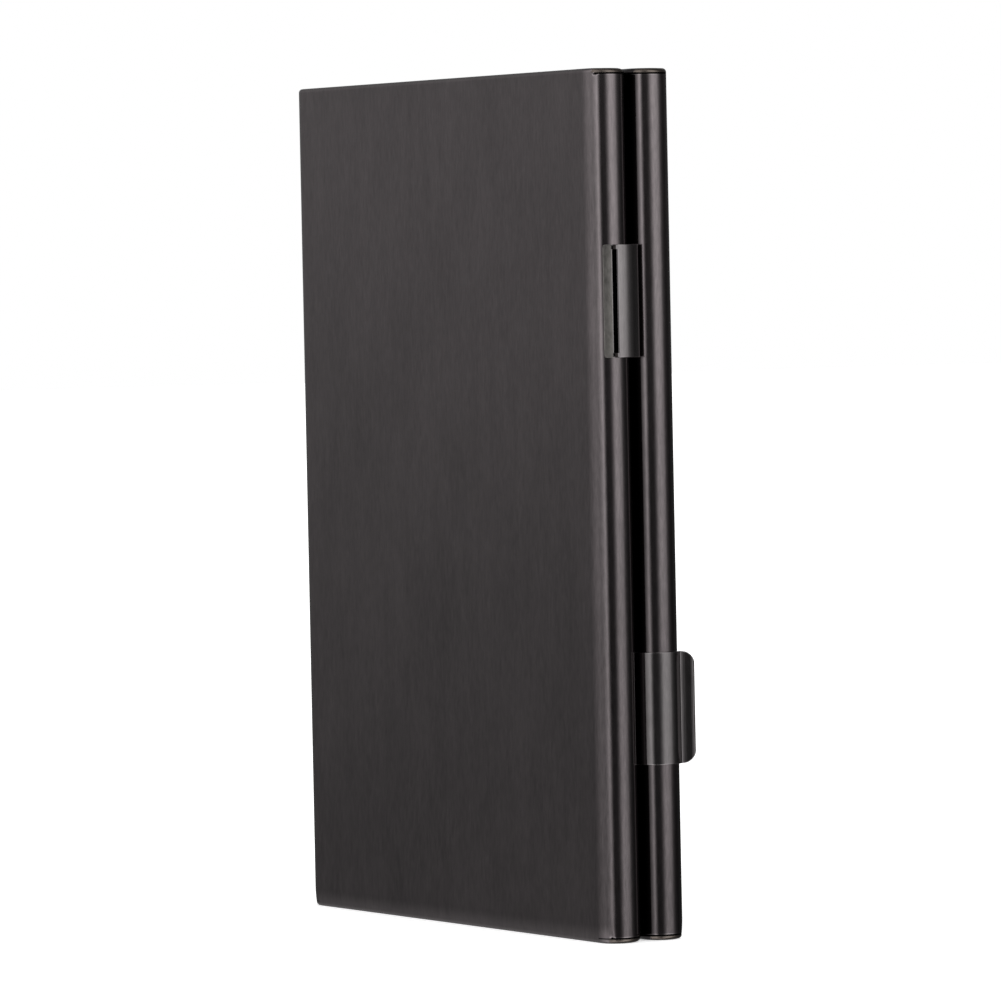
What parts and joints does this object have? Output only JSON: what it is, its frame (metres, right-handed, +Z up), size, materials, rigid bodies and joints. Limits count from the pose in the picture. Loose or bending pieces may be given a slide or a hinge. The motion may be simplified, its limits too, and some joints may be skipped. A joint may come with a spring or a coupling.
{
  "type": "two-sided metal card case",
  "caption": "Slim upright card wallet: two pressed metal shells hinged on one pin to a middle plate, each held shut by a sprung latch strip on the far long edge.",
  "frame": {"origin": "bottom centre of the closed case, on its standing end", "axes": "+Z up along the height; the front shell faces -Y; the hinge is at -X and the latches are at +X"},
  "size_m": [0.0665, 0.0112, 0.093],
  "materials": {
    "anodised_sheet": "black anodised, fine vertical brushing",
    "pin_steel": "drawn wire",
    "spring_strip": "black coated spring strip, brushed",
    "tray_plastic": "fine texture",
    "flock_film": "flocked"
  },
  "bodies": {
    "middle": {"divider_plate": "anodised_sheet", "hinge_pin": "pin_steel", "front_plate_film": "flock_film", "rear_plate_film": "flock_film", "front_latch_foot": "spring_strip", "rear_latch_foot": "spring_strip"},
    "front_cover": {"front_shell": "anodised_sheet", "front_hinge_leaf": "anodised_sheet", "front_card_tray": "tray_plastic", "front_shell_film": "flock_film"},
    "rear_cover": {"rear_shell": "anodised_sheet", "rear_hinge_leaf": "anodised_sheet", "rear_card_tray": "tray_plastic", "rear_shell_film": "flock_film"},
    "front_latch": {"front_latch_hook": "spring_strip"},
    "rear_latch": {"rear_latch_hook": "spring_strip"}
  },
  "joints": [
    {"name": "front_hinge", "type": "hinge", "parent": "middle", "child": "front_cover", "pos_m": [-0.0326, 0, 0.0465], "axis": [0, 0, -1], "range_deg": [0, 95]},
    {"name": "rear_hinge", "type": "hinge", "parent": "middle", "child": "rear_cover", "pos_m": [-0.0326, 0, 0.0465], "axis": [0, 0, 1], "range_deg": [0, 95]},
    {"name": "front_latch_flex", "type": "hinge", "parent": "middle", "child": "front_latch", "pos_m": [0.0316, -0.00032, 0.0683], "axis": [0, 0, 1], "range_deg": [0, 8], "stiffness_Nm_per_rad": 0.1},
    {"name": "rear_latch_flex", "type": "hinge", "parent": "middle", "child": "rear_latch", "pos_m": [0.03102, 0.00044, 0.0248], "axis": [0, 0, -1], "range_deg": [0, 12], "stiffness_Nm_per_rad": 0.1}
  ]
}
